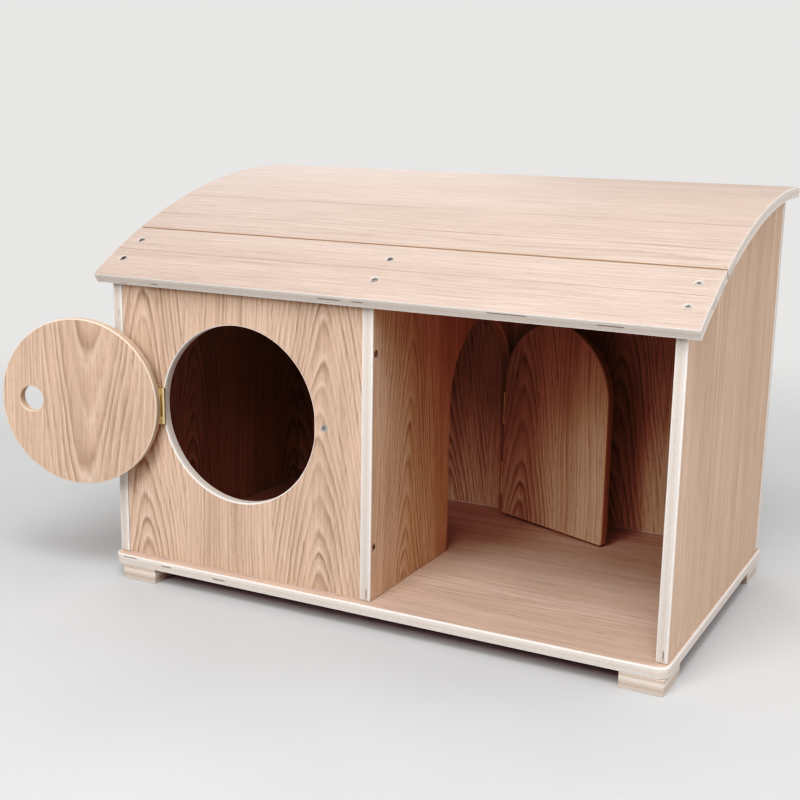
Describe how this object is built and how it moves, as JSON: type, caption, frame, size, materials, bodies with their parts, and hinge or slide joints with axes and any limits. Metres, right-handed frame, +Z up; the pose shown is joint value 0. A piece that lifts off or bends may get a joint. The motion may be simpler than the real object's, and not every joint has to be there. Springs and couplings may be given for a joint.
{
  "type": "cat house",
  "caption": "Plywood cat house on feet: a sleeping room with a hinged round door, an open porch reached through an arched door, and a bowed roof whose rear part lifts as a lid.",
  "frame": {"origin": "On the ground, under the middle of the base board, in the plane that the feet stand on.", "axes": "+X along the front from the sleeping room to the porch, +Y from the front to the back, +Z up."},
  "size_m": [0.7987, 0.4558, 0.4675],
  "materials": {
    "wall_plywood": "clear matt lacquer on ash-like veneer",
    "door_plywood": "clear matt lacquer on ash-like veneer",
    "roof_plywood": "clear matt lacquer on pale ash-like veneer",
    "floor_plywood": "clear matt lacquer on pale veneer, layers bare at the edges",
    "hinge_brass": "brass plate",
    "screw_steel": "zinc plate",
    "pin_steel": "bright drawn steel"
  },
  "bodies": {
    "house": {"base_board": "floor_plywood", "foot_front_left": "floor_plywood", "foot_front_right": "floor_plywood", "foot_rear_left": "floor_plywood", "foot_rear_right": "floor_plywood", "left_side_panel": "wall_plywood", "right_side_panel": "wall_plywood", "divider_panel": "wall_plywood", "front_panel": "wall_plywood", "back_panel": "wall_plywood", "roof_front_board": "roof_plywood", "door_stop": "floor_plywood", "round_hinge_frame_leaf": "hinge_brass", "round_hinge_pin": "pin_steel", "arch_lower_hinge_frame_leaf": "hinge_brass", "arch_lower_hinge_pin": "pin_steel", "arch_upper_hinge_frame_leaf": "hinge_brass", "arch_upper_hinge_pin": "pin_steel", "lid_left_hinge_panel_leaf": "hinge_brass", "lid_left_hinge_pin": "pin_steel", "lid_right_hinge_panel_leaf": "hinge_brass", "lid_right_hinge_pin": "pin_steel", "roof_board_screws": "screw_steel", "front_panel_screws": "screw_steel", "back_panel_screws": "screw_steel", "base_screws": "screw_steel", "door_stop_screw": "screw_steel", "round_hinge_frame_screws": "hinge_brass", "arch_hinge_frame_screws": "hinge_brass", "lid_hinge_panel_screws": "hinge_brass"},
    "round_door": {"round_door": "door_plywood", "round_hinge_door_leaf": "hinge_brass", "round_hinge_door_screws": "hinge_brass"},
    "arch_door": {"arch_door": "door_plywood", "arch_lower_hinge_door_leaf": "hinge_brass", "arch_upper_hinge_door_leaf": "hinge_brass", "arch_hinge_door_screws": "hinge_brass"},
    "roof_lid": {"roof_lid": "roof_plywood", "lid_left_hinge_lid_leaf": "hinge_brass", "lid_right_hinge_lid_leaf": "hinge_brass", "lid_hinge_lid_screws": "hinge_brass"}
  },
  "joints": [
    {"name": "round_door_hinge", "type": "hinge", "parent": "house", "child": "round_door", "pos_m": [-0.26375, -0.19185, 0.214], "axis": [0, 0, -1], "range_deg": [-167, 12]},
    {"name": "arch_door_hinge", "type": "hinge", "parent": "house", "child": "arch_door", "pos_m": [0.0076, 0.18165, 0.12075], "axis": [0, 0, 1], "range_deg": [-68, 22]},
    {"name": "roof_lid_hinge", "type": "hinge", "parent": "house", "child": "roof_lid", "pos_m": [0, 0.20385, 0.45483], "axis": [-1, 0, 0], "range_deg": [0, 175]}
  ]
}
